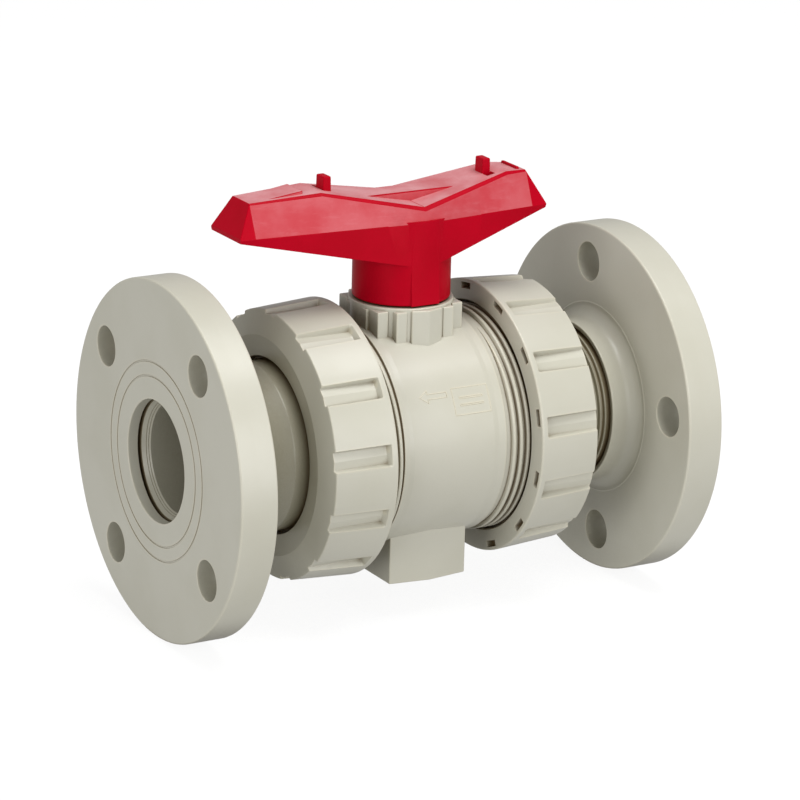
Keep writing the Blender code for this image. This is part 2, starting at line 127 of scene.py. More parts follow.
class Added:
    """A node that has been added to a tree."""

    def __init__(self, tree, node):
        self.tree, self.node = tree, node

    def wire(self, name=0):
        return Wire(self.tree, self.node.outputs[name])


class Tree:
    """Adds nodes to a tree and links their inputs."""

    def __init__(self, nodes):
        self.nodes = nodes

    def add(self, kind, *inputs, **named):
        """Adds a node. A dictionary before the inputs holds its settings, and _ stands for a space."""
        settings, inputs = (inputs[0], inputs[1:]) if inputs and isinstance(inputs[0], dict) else ({}, inputs)
        node = self.nodes.nodes.new(kind)
        for name, value in settings.items():
            setattr(node, name, value)
        wanted = list(zip(node.inputs, inputs))
        wanted += [(node.inputs[name.replace("_", " ")], value) for name, value in named.items()]
        for socket, value in wanted:
            if isinstance(value, Wire):
                self.nodes.links.new(value.socket, socket)
            elif isinstance(value, list):
                for wire in value:
                    self.nodes.links.new(wire.socket, socket)
            else:
                socket.default_value = value
        return Added(self, node)

    def wire(self, kind, *inputs, **named):
        return self.add(kind, *inputs, **named).wire()

    def vector(self, x=0.0, y=0.0, z=0.0):
        return self.wire("ShaderNodeCombineXYZ", x, y, z)


def geometry_tree(name, numbers):
    """A geometry tree with named number inputs, and its wires by name."""
    nodes = bpy.data.node_groups.new(name, "GeometryNodeTree")
    nodes.interface.new_socket("Geometry", in_out="INPUT", socket_type="NodeSocketGeometry")
    for number in numbers:
        nodes.interface.new_socket(number, in_out="INPUT", socket_type="NodeSocketFloat")
    nodes.interface.new_socket("Material", in_out="INPUT", socket_type="NodeSocketMaterial")
    nodes.interface.new_socket("Geometry", in_out="OUTPUT", socket_type="NodeSocketGeometry")
    tree = Tree(nodes)
    source = tree.add("NodeGroupInput")
    wires = {socket.name: Wire(tree, socket) for socket in source.node.outputs if socket.name}
    return tree, wires


def close_tree(tree, geometry, material):
    """Ends a geometry tree with real geometry that carries its material."""
    real = tree.wire("GeometryNodeRealizeInstances", geometry)
    finished = tree.wire("GeometryNodeSetMaterial", real, Material=material)
    tree.add("NodeGroupOutput", finished)
    return tree.nodes


def grow(piece, nodes, material, **sizes):
    """Runs a geometry tree on an object and keeps the result as its plain mesh."""
    modifier = piece.modifiers.new(nodes.name, "NODES")
    modifier.node_group = nodes
    for socket in nodes.interface.items_tree:
        if socket.name in sizes:
            modifier[socket.identifier] = float(sizes[socket.name])
        elif socket.name == "Material":
            modifier[socket.identifier] = material
    return settle(piece)


def settle(piece):
    """Replaces an object's mesh by what its modifiers make, and removes them."""
    bpy.context.view_layer.update()
    evaluated = piece.evaluated_get(bpy.context.evaluated_depsgraph_get())
    old = piece.data
    made = bpy.data.meshes.new_from_object(evaluated)
    piece.modifiers.clear()
    piece.data = made
    bpy.data.meshes.remove(old)
    return piece


# %% [markdown]
# ## Moulded polypropylene
#
# The shell plastic is a warm beige-grey with a satin skin. Real mouldings aren't one colour: the melt flows
# in faint clouds and the skin has a fine orange-peel. Light and shade are also painted into the colour: thin
# edges get a painted cream highlight, and gaps and deep recesses get painted brown shade. Each of these is a
# mask, and the masks are laid over each other. The end connectors sit between nut and flange, so their
# version of the plastic gets the painted deep shade sooner.


# %% Shader helpers
def new_material(name):
    """A material, its tree, its shader node and the place of each point in the object."""
    material = bpy.data.materials.new(name)
    material.use_nodes = True
    tree = Tree(material.node_tree)
    shader = material.node_tree.nodes["Principled BSDF"]
    return material, tree, shader, tree.add("ShaderNodeTexCoord").wire("Object")


def connect(tree, shader, colour, roughness, skin):
    """Feeds the three inputs that vary over a surface."""
    for wire, name in ((colour, "Base Color"), (roughness, "Roughness"), (skin, "Normal")):
        tree.nodes.links.new(wire.socket, shader.inputs[name])


def noise(tree, place, size, detail=3.0, roughness=0.5):
    """Cloudy noise from 0 to 1, whose lumps are about the given size in millimetres."""
    node = tree.add("ShaderNodeTexNoise", {"noise_dimensions": "3D"}, Vector=place,
                    Scale=1.0 / (size * MM), Detail=detail, Roughness=roughness)
    return node.wire(0)


def mix_colour(tree, factor, first, second):
    """A mix of two colours. The colour sockets of a Mix node come after those for numbers and vectors."""
    node = tree.add("ShaderNodeMix", {"data_type": "RGBA"}).node
    for socket, value in zip((node.inputs[0], node.inputs[6], node.inputs[7]), (factor, first, second)):
        if isinstance(value, Wire):
            tree.nodes.links.new(value.socket, socket)
        else:
            socket.default_value = (*value, 1.0)
    return Wire(tree, node.outputs[2])


def openness(tree, reach, **settings):
    """How freely a point sees out within a reach in millimetres, from 0 to 1."""
    return tree.add("ShaderNodeAmbientOcclusion", settings, Distance=reach * MM).wire("AO")


def bump(tree, height, distance, strength=1.0, normal=None):
    """Tilts the normal as if the surface rose by the height times the distance in millimetres."""
    named = {"Height": height, "Distance": distance * MM, "Strength": strength}
    if normal:
        named["Normal"] = normal
    return tree.wire("ShaderNodeBump", **named)


# %% The shell plastic
SHELL_COLOUR = (0.565, 0.55, 0.465)
# Painted highlight: the cream colour lightens edges.
SHELL_EDGE_HIGHLIGHT = (0.66, 0.62, 0.49)
# Painted shade: the brown colour darkens gaps.
SHELL_GAP_SHADE = (0.17, 0.105, 0.04)
# Painted shade for deep recesses.
SHELL_SHADE = (0.15, 0.13, 0.07)
SHELL_CLOUD = (0.53, 0.515, 0.425)


def shell_plastic(name, enclosed, exposed):
    """The plastic with a painted highlight on its edges and painted shade in its gaps and where it lies deep.
    The deep shade is full at the openness "enclosed" and absent at "exposed".
    """
    material, tree, shader, place = new_material(name)
    clouds = noise(tree, place, 38.0, 4.0).step(0.35, 0.7)
    peel = noise(tree, place, 1.4, 2.0)
    grain = noise(tree, place, 0.35, 2.0)
    scuffs = noise(tree, place, 9.0, 8.0, 0.75).step(0.56, 0.72)
    # Painted highlight: convex edges are lightened to cream, as if light caught them.
    edge = 1 - openness(tree, 1.2, samples=4, inside=True, only_local=True).step(0.55, 0.95)
    # Painted shade: narrow gaps and creases, where little light reaches, are darkened to brown.
    painted_gap_shade = 1 - openness(tree, 4.0, samples=6).step(0.2, 0.7)
    # Painted shade: points that see little out within 45 mm, deep between parts, are darkened towards the shade
    # colour.
    depth = 1 - openness(tree, 45.0, samples=8).step(enclosed, exposed)
    colour = mix_colour(tree, clouds * 0.8, SHELL_COLOUR, SHELL_CLOUD)
    colour = mix_colour(tree, edge * 0.75, colour, SHELL_EDGE_HIGHLIGHT)
    colour = mix_colour(tree, depth * 0.85, colour, SHELL_SHADE)
    colour = mix_colour(tree, painted_gap_shade * 0.85, colour, SHELL_GAP_SHADE)
    roughness = 0.26 + clouds * 0.05 + scuffs * 0.14 + grain * 0.05
    skin = bump(tree, peel, 0.035, 0.5)
    skin = bump(tree, grain, 0.012, 0.5, skin)
    connect(tree, shader, colour, roughness, skin)
    shader.inputs["Specular IOR Level"].default_value = 0.5
    return material


SHELL = shell_plastic("polypropylene_shell", 0.03, 0.58)
# The connectors' copy of the plastic, where the painted deep shade starts sooner.
SHELL_MORE_PAINTED_SHADE = shell_plastic("polypropylene_deep_painted_shade", 0.42, 1.0)
print("made", SHELL.name, "and", SHELL_MORE_PAINTED_SHADE.name)

# %% [markdown]
# The handle is the same kind of plastic in a strong red. Its upper mould half has a fine texture that
# scatters light and takes pale rub marks, while the lower half and the bevels along the crests are glossy
# and deep. So there are two finishes, and each face of the handle gets one of them.


# %% The red plastic
RED_COLOUR = (0.46, 0.001, 0.013)
RED_DEEP = (0.38, 0.001, 0.009)
RED_PALE = (0.52, 0.038, 0.052)
RED_RUBBED = (0.62, 0.16, 0.18)
# Painted sheen: this pale pink lightens the upward faces of the textured red.
RED_TOP_SHEEN = (0.80, 0.48, 0.50)


def red_plastic(name, pale):
    """Glossy red, or the paler textured red of the upper mould half, with a painted sheen on its upward faces.
    """
    material, tree, shader, place = new_material(name)
    clouds = noise(tree, place, 24.0, 4.0, 0.6).step(0.3, 0.7)
    along = tree.wire("ShaderNodeMapping", place, Scale=(0.22, 1.0, 1.0))
    streaks = noise(tree, along, 2.6, 7.0, 0.72).step(0.48, 0.78)
    peel = noise(tree, place, 0.55 if pale else 1.3, 3.0, 0.6)
    if pale:
        colour = mix_colour(tree, clouds * 0.45 + streaks * 0.35, RED_PALE, RED_RUBBED)
        # Painted sheen: faces that point up are lightened to pale pink, as if lit from above.
        normal = tree.add("ShaderNodeTexCoord").wire("Normal")
        painted_top_sheen = tree.add("ShaderNodeSeparateXYZ", normal).wire("Z").step(0.82, 0.99)
        colour = mix_colour(tree, painted_top_sheen * (0.25 + clouds * 0.35), colour, RED_TOP_SHEEN)
        roughness = 0.46 + streaks * 0.1
        skin = bump(tree, peel, 0.05, 0.6)
    else:
        colour = mix_colour(tree, clouds * 0.6, RED_COLOUR, RED_DEEP)
        roughness = 0.33 + streaks * 0.1
        skin = bump(tree, peel, 0.03, 0.4)
    shader.inputs["Specular IOR Level"].default_value = 0.3 if pale else 0.04
    connect(tree, shader, colour, roughness, skin)
    return material


RED = red_plastic("polypropylene_red", False)
RED_TEXTURED = red_plastic("polypropylene_red_textured", True)
print("made", RED.name, "and", RED_TEXTURED.name)

# %% [markdown]
# Inside are white fluoroplastic seats, which are turned on a lathe, and black rubber rings. They show only
# when the unions are opened, so two simple finishes are enough: fine rings from the tool, and a dusty bloom.


# %% Seat and rubber
def lathe_plastic():
    material, tree, shader, place = new_material("white_fluoroplastic")
    parts = tree.add("ShaderNodeSeparateXYZ", place)
    radius = (parts.wire("Y") * parts.wire("Y") + parts.wire("Z") * parts.wire("Z")).math("SQRT")
    rings = (radius * (2 * pi / (0.25 * MM))).math("SINE")
    clouds = noise(tree, place, 12.0)
    colour = mix_colour(tree, clouds, (0.80, 0.80, 0.78), (0.88, 0.88, 0.86))
    connect(tree, shader, colour, 0.32 + clouds * 0.1, bump(tree, rings, 0.01, 0.5))
    return material


def ring_rubber():
    material, tree, shader, place = new_material("black_rubber")
    bloom = noise(tree, place, 5.0, 6.0, 0.7).step(0.4, 0.8)
    colour = mix_colour(tree, bloom, (0.012, 0.012, 0.012), (0.035, 0.034, 0.032))
    connect(tree, shader, colour, 0.5 + bloom * 0.25, bump(tree, noise(tree, place, 0.5), 0.02, 0.5))
    return material


SEAT = lathe_plastic()
RUBBER = ring_rubber()
print("made", SEAT.name, "and", RUBBER.name)

# %% [markdown]
# ## Turned pieces
#
# Most of a valve is turned: the body, nuts, connectors, flanges, ball and seats are outlines spun round an
# axis. An outline here is a list of corners, each with the radius of its rounding, so no edge is left
# knife-sharp. Every piece is spun round its own Z, then turned so that Z points out along the pipe.


# %% Outlines with rounded corners
SHARP_ANGLE, ARC_STEPS = radians(35), 4


def close_mesh(name, shape):
    """A new mesh from a bmesh, which is freed."""
    mesh = bpy.data.meshes.new(name)
    shape.to_mesh(mesh)
    shape.free()
    return mesh


def remove(*pieces):
    for piece in pieces:
        bpy.data.objects.remove(piece, do_unlink=True)


def add_object(name, mesh):
    piece = bpy.data.objects.new(name, mesh)
    bpy.context.scene.collection.objects.link(piece)
    return piece


def rounded(corners, radius=0.4):
    """An outline of (r, h) or (r, h, rounding) corners in millimetres, with each corner made an arc."""
    points = []
    count = len(corners)
    for i, corner in enumerate(corners):
        here = Vector(corner[:2])
        before = Vector(corners[i - 1][:2]) - here
        after = Vector(corners[(i + 1) % count][:2]) - here
        size = corner[2] if len(corner) > 2 else radius
        turn = pi - before.angle(after)
        if size <= 0 or turn < radians(3):
            points.append(here)
            continue
        reach = min(size * tan(turn / 2), 0.48 * before.length, 0.48 * after.length)
        start, end = here + before.normalized() * reach, here + after.normalized() * reach
        bend = reach / tan(turn / 2)
        centre = here + (before.normalized() + after.normalized()).normalized() * hypot(reach, bend)
        first, last = start - centre, end - centre
        for k in range(ARC_STEPS + 1):
            points.append(centre + first.slerp(last, k / ARC_STEPS) * first.length)
    return [(p.x, p.y) for p in points]


def arc(radius, start, end, steps, centre=(0.0, 0.0)):
    """Points on an arc, in degrees from the r axis towards h."""
    turns = [radians(start + (end - start) * k / steps) for k in range(steps + 1)]
    return [(centre[0] + radius * cos(a), centre[1] + radius * sin(a)) for a in turns]


def spin_outline(name, outline, angles=192, closed=True):
    """A mesh object spun round Z. The angles are a count, or a list of degrees for uneven columns."""
    if isinstance(angles, int):
        angles = [360.0 * k / angles for k in range(angles)]
    turns = [(cos(radians(a)), sin(radians(a))) for a in angles]
    points = [(r * c * MM, r * s * MM, h * MM) for c, s in turns for r, h in outline]
    rows = len(outline)
    spans = rows if closed else rows - 1
    faces = []
    for column in range(len(turns)):
        here, there = column * rows, ((column + 1) % len(turns)) * rows
        for row in range(spans):
            up = (row + 1) % rows
            faces.append((here + row, there + row, there + up, here + up))
    mesh = bpy.data.meshes.new(name)
    mesh.from_pydata(points, [], faces)
    return tidy(add_object(name, mesh))


def tidy(piece):
    """Merges doubles, points the faces outwards and smooths all but the sharp edges."""
    shape = bmesh.new()
    shape.from_mesh(piece.data)
    bmesh.ops.remove_doubles(shape, verts=shape.verts, dist=0.002 * MM)
    bmesh.ops.recalc_face_normals(shape, faces=shape.faces)
    shape.to_mesh(piece.data)
    shape.free()
    piece.data.shade_smooth()
    piece.data.set_sharp_from_angle(angle=SHARP_ANGLE)
    return piece


# %% Placing pieces
OUTWARD = {"left": -90.0, "right": 90.0}
SIDES = tuple(OUTWARD)


def own_angle(side, angle):
    """A direction round the pipe, in degrees from +Y to +Z, as an angle round the piece's own Z."""
    return angle + 90 if side == "right" else 90 - angle


def turn_out(piece, side):
    """Turns a piece's own Z to point out along the pipe, in its mesh."""
    piece.data.transform(Matrix.Rotation(radians(OUTWARD[side]), 4, "Y"))
    return piece


def turned(name, outline, side, angles=128):
    """A piece spun from a rounded outline, with its own Z along the pipe."""
    return turn_out(spin_outline(name, outline, angles), side)


def finish_piece(piece, body, slot, material, *nodes):
    """Gives a piece its finish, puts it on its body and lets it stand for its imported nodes."""
    if material:
        piece.data.materials.clear()
        piece.data.materials.append(material)
    weighted = piece.modifiers.new("flat faces stay flat", "WEIGHTED_NORMAL")
    weighted.keep_sharp = True
    settle(piece)
    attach(piece, body)
    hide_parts(*nodes)
    print(f"{piece.name}: {len(piece.data.polygons)} faces, on {body}")
    return piece


def join(name, *pieces):
    """One object from several."""
    shape = bmesh.new()
    for piece in pieces:
        shape.from_mesh(piece.data)
    joined = add_object(name, close_mesh(name, shape))
    remove(*pieces)
    joined.data.shade_smooth()
    joined.data.set_sharp_from_angle(angle=SHARP_ANGLE)
    return joined


def round_edges(piece, bevel, angle, material=-1):
    """Bevels all edges over an angle. The bevel may have a material slot of its own."""
    rounding = piece.modifiers.new("rounding", "BEVEL")
    rounding.width = bevel * MM
    rounding.segments = 3
    rounding.limit_method = "ANGLE"
    rounding.angle_limit = angle
    rounding.material = material
    return settle(piece)


def hull(name, corners, bevel=0.5):
    """The convex block round some corners in millimetres, with rounded edges."""
    shape = bmesh.new()
    for corner in corners:
        shape.verts.new(Vector(corner) * MM)
    bmesh.ops.convex_hull(shape, input=shape.verts)
    bmesh.ops.dissolve_limit(shape, angle_limit=radians(1), verts=shape.verts, edges=shape.edges)
    bmesh.ops.recalc_face_normals(shape, faces=shape.faces)
    piece = add_object(name, close_mesh(name, shape))
    return round_edges(piece, bevel, radians(20)) if bevel else piece


def box_corners(low, high):
    return [(x, y, z) for x in (low[0], high[0]) for y in (low[1], high[1]) for z in (low[2], high[2])]


def block(name, low, high, **options):
    """A rounded box between two corners in millimetres."""
    return hull(name, box_corners(low, high), **options)


def combine(piece, operation, *others):
    """Joins other pieces to a piece, or cuts them from it, with exact Booleans, and uses them up."""
    for other in others:
        boolean = piece.modifiers.new(other.name, "BOOLEAN")
        boolean.operation = operation
        boolean.object = other
        boolean.solver = "EXACT"
    settle(piece)
    remove(*others)
    return tidy(piece)


# %% [markdown]
# ## The valve body
#
# The barrel is one moulding with the tower round the stem and the foot under it. It is spun as a thick
# outline, with the ball chamber already in it. The tower, its ribs and the foot are joined on, and the stem
# hole is cut last.

# %% The barrel
BODY_END = 55.5
BODY_BORE_R = 25.0           # also the bore of both seats
RING_SLOT_IN, RING_SLOT_OUT = 29.2, 32.8     # the square slots that hold rubber rings
SEAT_DEPTH, CHAMBER_R, CARRIER_ROOM_R = 33.3, 40.2, 45.3
THREAD_R = 49.0
BARREL_R = 50.6
SIDE_BAND_R = 50.38
LEFT_SHOULDER = 24.9         # the left thread starts one turn nearer the stem


def ring_slot(face, floor, edge=0.2):
    """Four corners of a slot for a rubber ring, from its inner side outwards."""
    return [(RING_SLOT_IN, face, edge), (RING_SLOT_IN, floor, 0.2), (RING_SLOT_OUT, floor, 0.2),
            (RING_SLOT_OUT, face, edge)]


def barrel():
    upper = [(THREAD_R, BODY_END, 0.8), (THREAD_R, 26.9, 0.2), (SIDE_BAND_R, 26.5, 0.35),
             (SIDE_BAND_R, 22.6, 0.5), (BARREL_R, 20.2, 0.5)]
    lower = [(r, -h, size) for r, h, size in reversed(upper)]
    lower[2], lower[3] = (SIDE_BAND_R, -LEFT_SHOULDER, 0.35), (THREAD_R, -LEFT_SHOULDER - 0.3, 0.2)
    left_face = [*ring_slot(-BODY_END, -52.2)[::-1], (BODY_BORE_R, -BODY_END)]
    left_seat = [(BODY_BORE_R, -SEAT_DEPTH, 0.2), *ring_slot(-SEAT_DEPTH, -36.6, 0), (35.3, -SEAT_DEPTH, 0.2),
                 (35.3, -27.0)]
    chamber = [(CHAMBER_R, -27.0), (CHAMBER_R, SEAT_DEPTH), (CARRIER_ROOM_R, SEAT_DEPTH),
               (CARRIER_ROOM_R, BODY_END)]
    outline = rounded(upper + lower + left_face + left_seat + chamber)
    return turned("body_shell", outline, "right", 192)


body_shell = barrel()
print("barrel:", len(body_shell.data.polygons), "faces")

# %% The tower, its ribs and the foot
TOWER_R, TOWER_TOP, TOWER_BASE = 23.3, 60.5, 40.6
RIB_TOP = 59.2
FOOT_BOTTOM, FOOT_TOP = -62.8, -30.0


def prism(name, corners, low, high, **options):
    """An upright block over (x, y) corners."""
    return hull(name, [(x, y, z) for z in (low, high) for x, y in corners], **options)


def both_ways(corners):
    """Corners and the same corners turned half a turn about the stem."""
    return corners + [(-x, -y) for x, y in corners]


tower = spin_outline("tower", rounded([(0, TOWER_TOP, 0), (TOWER_R, TOWER_TOP, 0.5), (TOWER_R, TOWER_BASE, 0),
                                       (0, TOWER_BASE, 0)]), 128)
ribs = [prism("front_rib", both_ways([(-7.5, -23.4), (0, -25.5), (7.5, -23.4)]), TOWER_BASE, RIB_TOP + 0.5)]
for near, far, reach in ((9.0, 14.4, 21.9), (16.0, 21.4, 17.5)):
    for sign in (-1, 1):
        low, high = sorted((sign * near, sign * far))
        ribs.append(block("paired_rib", (low, -reach, TOWER_BASE), (high, reach, RIB_TOP)))
for sign in (-1, 1):
    low, high = sorted((sign * 0.8, sign * 9.5))
    ribs.append(block("side_rib", (-22.75, low, TOWER_BASE), (22.75, high, RIB_TOP - 0.4)))
foot = prism("foot", both_ways([(-19.3, -29.5), (0, -32.0), (19.3, -29.5)]), FOOT_BOTTOM, FOOT_TOP, bevel=0.6)
combine(body_shell, "UNION", tower, *ribs, foot)
stem_hole = [(0, 66), (12.1, 66), (12.1, 44.5), (14.3, 44.5), (14.3, 34), (0, 34)]
stem_hole = spin_outline("stem_hole", stem_hole, 96)
combine(body_shell, "DIFFERENCE", stem_hole)
print("body:", len(body_shell.data.polygons), "faces")

# %% [markdown]
# ### Threads
#
# A union thread is a ridge that climbs one pitch each turn. The tree bends a trapezium with rounded corners
# round a spiral, and lets it shrink into the wall at both ends, as a moulded thread does. The nuts use the
# same tree with the ridge pointing inwards.


# %% The thread tree
def thread_tree():
    tree, wire = geometry_tree("union_thread", ["Radius", "Start", "Pitch", "Turns", "First angle",
                                                "Root width", "Crest width", "Height", "Sink", "Outward",
                                                "Fade turns"])
    steps_a_turn = 96
    spiral = tree.wire("GeometryNodeCurveSpiral", steps_a_turn, wire["Turns"], wire["Radius"],
                      wire["Radius"], wire["Turns"] * wire["Pitch"], True)
    upright = tree.wire("GeometryNodeSetCurveNormal", {"mode": "Z_UP"}, spiral)
    done = tree.add("GeometryNodeSplineParameter").wire("Factor") * wire["Turns"]
    left = wire["Turns"] - done
    fade = done.step(-0.02, wire["Fade turns"]) * left.step(-0.02, wire["Fade turns"])
    turn = tree.vector(z=wire["First angle"] * (pi / 180))
    lift = tree.vector(z=wire["Start"])
    placed = tree.wire("GeometryNodeTransform", upright, Translation=lift, Rotation=turn)

    tall = wire["Height"] + wire["Sink"]
    section = tree.wire("GeometryNodeCurvePrimitiveQuadrilateral", {"mode": "TRAPEZOID"}, Height=tall,
                       Bottom_Width=wire["Root width"], Top_Width=wire["Crest width"], Offset=0.0)
    corner = wire["Crest width"] * 0.42
    soft = tree.wire("GeometryNodeFilletCurve", {"mode": "POLY"}, section, 4, corner, True)
    out = tree.vector(x=(tall / 2 - wire["Sink"]) * wire["Outward"])
    tip = tree.vector(z=wire["Outward"] * (-pi / 2))
    aimed = tree.wire("GeometryNodeTransform", soft, Translation=out, Rotation=tip)
    ridge = tree.wire("GeometryNodeCurveToMesh", placed, aimed, fade, True)
    return close_tree(tree, ridge, wire["Material"])


THREAD = thread_tree()
PITCH = 3.6
MALE_START = 29.75           # middle of the right thread's first ridge, from the stem axis
RIDGE = {"Root width": 2.5 * MM, "Crest width": 1.5 * MM, "Height": 2.0 * MM, "Sink": 0.3 * MM}


def thread(name, side, radius, start, turns, outward=1.0):
    """One union thread on a piece's own axis. It points inwards when outward is -1."""
    empty = add_object(name, bpy.data.meshes.new(name))
    sizes = {"Radius": radius * MM, "Start": start * MM, "Pitch": PITCH * MM, "Turns": turns,
             "First angle": 200.0, "Outward": outward, "Fade turns": 0.12, **RIDGE}
    return turn_out(tidy(grow(empty, THREAD, SHELL, **sizes)), side)


male = [thread(f"male_thread_{side}", side, THREAD_R, start, turns)
        for side, start, turns in (("left", MALE_START - PITCH, 6.0), ("right", MALE_START, 5.0))]
print("thread:", len(male[0].data.polygons), "faces a side")

# %% [markdown]
# ### Moulded marks
#
# The barrel carries a raised arrow for the flow and a framed field with two plain bars. Each is a thin line
# that stands about 0.2 mm proud, so a tree sweeps a small round section along outlines laid on the barrel.


# %% The moulded line tree
def line_tree():
    tree, wire = geometry_tree("moulded_line", ["Width"])
    curve = tree.wire("GeometryNodeMeshToCurve", wire["Geometry"])
    section = tree.wire("GeometryNodeCurvePrimitiveCircle", Resolution=8,
                       Radius=wire["Width"] / 2)
    line = tree.wire("GeometryNodeCurveToMesh", curve, section, 1.0, True)
    return close_tree(tree, line, wire["Material"])


MOULDED_LINE = line_tree()


def on_barrel(corners, radius):
    """Points on the barrel along a closed outline, whose corners are (x, degrees from +Y to +Z)."""
    points = []
    for (x0, a0), (x1, a1) in zip(corners, corners[1:] + corners[:1]):
        for k in range(6):
            x, a = x0 + (x1 - x0) * k / 6, radians(a0 + (a1 - a0) * k / 6)
            points.append((x * MM, radius * cos(a) * MM, radius * sin(a) * MM))
    return points


def moulded_outline(name, corners, radius, width=0.5):
    """A raised line along a closed outline on the barrel."""
    points = on_barrel(corners, radius)
    mesh = bpy.data.meshes.new(name)
    mesh.from_pydata(points, [(i, (i + 1) % len(points)) for i in range(len(points))], [])
    return tidy(grow(add_object(name, mesh), MOULDED_LINE, SHELL, Width=width * MM))


ARROW = [(-14.2, 148.3), (-10.3, 151.6), (-10.3, 149.6), (-0.8, 149.6), (-0.8, 147.0), (-10.3, 147.0),
         (-10.3, 145.0)]
FRAME = [(1.9, 145.8), (19.7, 145.8), (19.7, 159.5), (1.9, 159.5)]
BARS = [[(5.0, low), (16.6, low), (16.6, high), (5.0, high)]
        for low, high in ((150.6, 151.4), (154.2, 155.0))]
FRAME_LINE_R = BARREL_R - 0.05
marks = [moulded_outline("arrow", ARROW, BARREL_R - 0.02), moulded_outline("frame", FRAME, FRAME_LINE_R)]
marks += [moulded_outline("bar", bar, FRAME_LINE_R) for bar in BARS]
body_shell = join("valve_shell", body_shell, *male, *marks)
finish_piece(body_shell, "valve_body", "shell", SHELL, "valve_body")

# %% [markdown]
# ## Union nuts
#
# A nut has thirteen flutes for grip, closed near its inner edge and open at its rim, with floors of two
# facets. Its inner face has a small core-out beside each flute. The nut is spun with its columns and rows
# gathered where the walls of the flutes and core-outs will be, and a tree then pushes those points in.

# %% Nut sizes
FLUTES = 13
FLUTE_PITCH = 360.0 / FLUTES
FLUTE_WIDTH = 8.4
FLUTE_FLOOR_R = 58.5
NUT_R, NUT_RIM_R, NUT_RIM, NUT_LENGTH = 61.9, 60.1, 29.6, 32.7
NUT_BORE_R, NUT_LIP_AT, NUT_THREAD_R = 39.3, 27.4, 51.9
NUT_PLACES = {"left": (34.6, 171.4), "right": (37.9, 170.1)}     # body-side edge and angle of a flute
POCKET_TURN = {"left": 4.4, "right": -4.4}
POCKET_R, POCKET_WIDTH, POCKET_HEIGHT, POCKET_DEPTH = 58.9, 7.2, 2.4, 3.4
WALL_SLOPE = 0.5             # how far round the nut a flute's side wall takes to fall


def nut_columns(first, pocket_turn):
    """Angles in degrees that are close together at the walls of flutes and core-outs."""
    per_mm = 180.0 / pi / FLUTE_FLOOR_R
    half = FLUTE_WIDTH / 2
    walls = [half + WALL_SLOPE * k for k in (-0.75, -0.55, -0.3, 0.0, 0.3, 0.55, 0.75)]
    local = [0.0, 0.35, -0.35] + [sign * (half * k) for k in (0.3, 0.6) for sign in (-1, 1)]
    local = [mm * per_mm for mm in local + walls + [-w for w in walls]]
    pocket = [(POCKET_WIDTH / 2 + k) * per_mm for k in (-0.25, 0.0, 0.25)]
    local += [pocket_turn + sign * p for p in pocket for sign in (-1, 1)]
    local += [FLUTE_PITCH * (-0.5 + k / 14) for k in range(14)]
    kept = []
    for angle in sorted(local):
        if not kept or angle - kept[-1] > 0.16:
            kept.append(angle)
    return [first + FLUTE_PITCH * i + angle for i in range(FLUTES) for angle in kept]


def nut_outline(start):
    """A nut's outline, with rows close together where flutes begin and core-outs have their walls."""
    rows = (2.2, 2.6, 3.0, 3.4, 3.8, 4.2, 4.6, 5.0, 12.0, 19.0, 26.0)
    flank = [(NUT_R - 1.8 * h / NUT_RIM, h, 0) for h in rows]
    body_side = [(r, 0.0, 0) for r in (53.6, 56.5, 57.45, 57.7, 57.95, 58.9, 59.85, 60.1, 60.35)]
    rim = [(NUT_RIM_R, NUT_RIM, 0.7), (59.1, 29.88, 0), (58.6, 30.02, 0), (58.1, 30.16, 0), (57.5, 30.33, 0),
           (56.5, 30.6, 0), (53.0, 31.58, 0), (49.0, NUT_LENGTH, 0.6), (NUT_BORE_R, 31.5, 0.6),
           (NUT_BORE_R, NUT_LIP_AT, 0.3), (NUT_THREAD_R, NUT_LIP_AT, 0.4), (NUT_THREAD_R, 0.6, 0.2),
           (52.5, 0.0, 0.2)]
    corners = body_side + [(NUT_R, 0.0, 1.0)] + flank + rim
    return rounded([(r, h + start, size) for r, h, size in corners])


print("columns in a nut:", len(nut_columns(0.0, POCKET_TURN["right"])))


# %% The flute tree
def within(value, half, soft):
    """1 inside half a width, 0 outside, with a soft wall between."""
    return 1 - value.step(half - soft, half + soft)


def flute_tree():
    tree, wire = geometry_tree("fluted_nut", ["First angle", "Start", "Floor radius", "Flute width",
                                              "Flute start", "Wall", "Pocket turn", "Pocket radius",
                                              "Pocket width", "Pocket height", "Pocket depth"])
    soft = 0.2 * MM
    parts = tree.add("ShaderNodeSeparateXYZ", tree.wire("GeometryNodeInputPosition"))
    x, y, z = (parts.wire(i) for i in range(3))
    radius = (x * x + y * y).math("SQRT")
    angle = y.math("ARCTAN2", x) * (180 / pi)

    def local(first):
        turns = ((angle - first) / FLUTE_PITCH + 20.5).math("FRACT") - 0.5
        return turns * (FLUTE_PITCH * pi / 180)

    near = local(wire["First angle"])
    across = abs(near.math("SINE") * wire["Floor radius"])
    half = wire["Flute width"] / 2
    inside = within(across, half, wire["Wall"] * 0.75)
    height = z - wire["Start"]
    past = height.step(wire["Flute start"] - 0.7 * MM, wire["Flute start"] + 0.9 * MM)
    ridge = (half - across).math("MAXIMUM", 0.0) * 0.17
    floor = (wire["Floor radius"] + ridge - 0.3 * MM) / near.math("COSINE")
    pushed = radius - (radius - floor).math("MAXIMUM", 0.0) * inside * past

    beside = abs(local(wire["First angle"] + wire["Pocket turn"]).math("SINE") * wire["Pocket radius"])
    off = abs(radius - wire["Pocket radius"])
    pocket = within(beside, wire["Pocket width"] / 2, soft) * within(off, wire["Pocket height"] / 2, soft)
    pocket = pocket * (1 - height.step(soft, 0.6 * MM))
    share = pushed / radius
    place = tree.vector(x * share, y * share, z + pocket * wire["Pocket depth"])
    moved = tree.wire("GeometryNodeSetPosition", wire["Geometry"], Position=place)
    return close_tree(tree, moved, wire["Material"])


FLUTED = flute_tree()


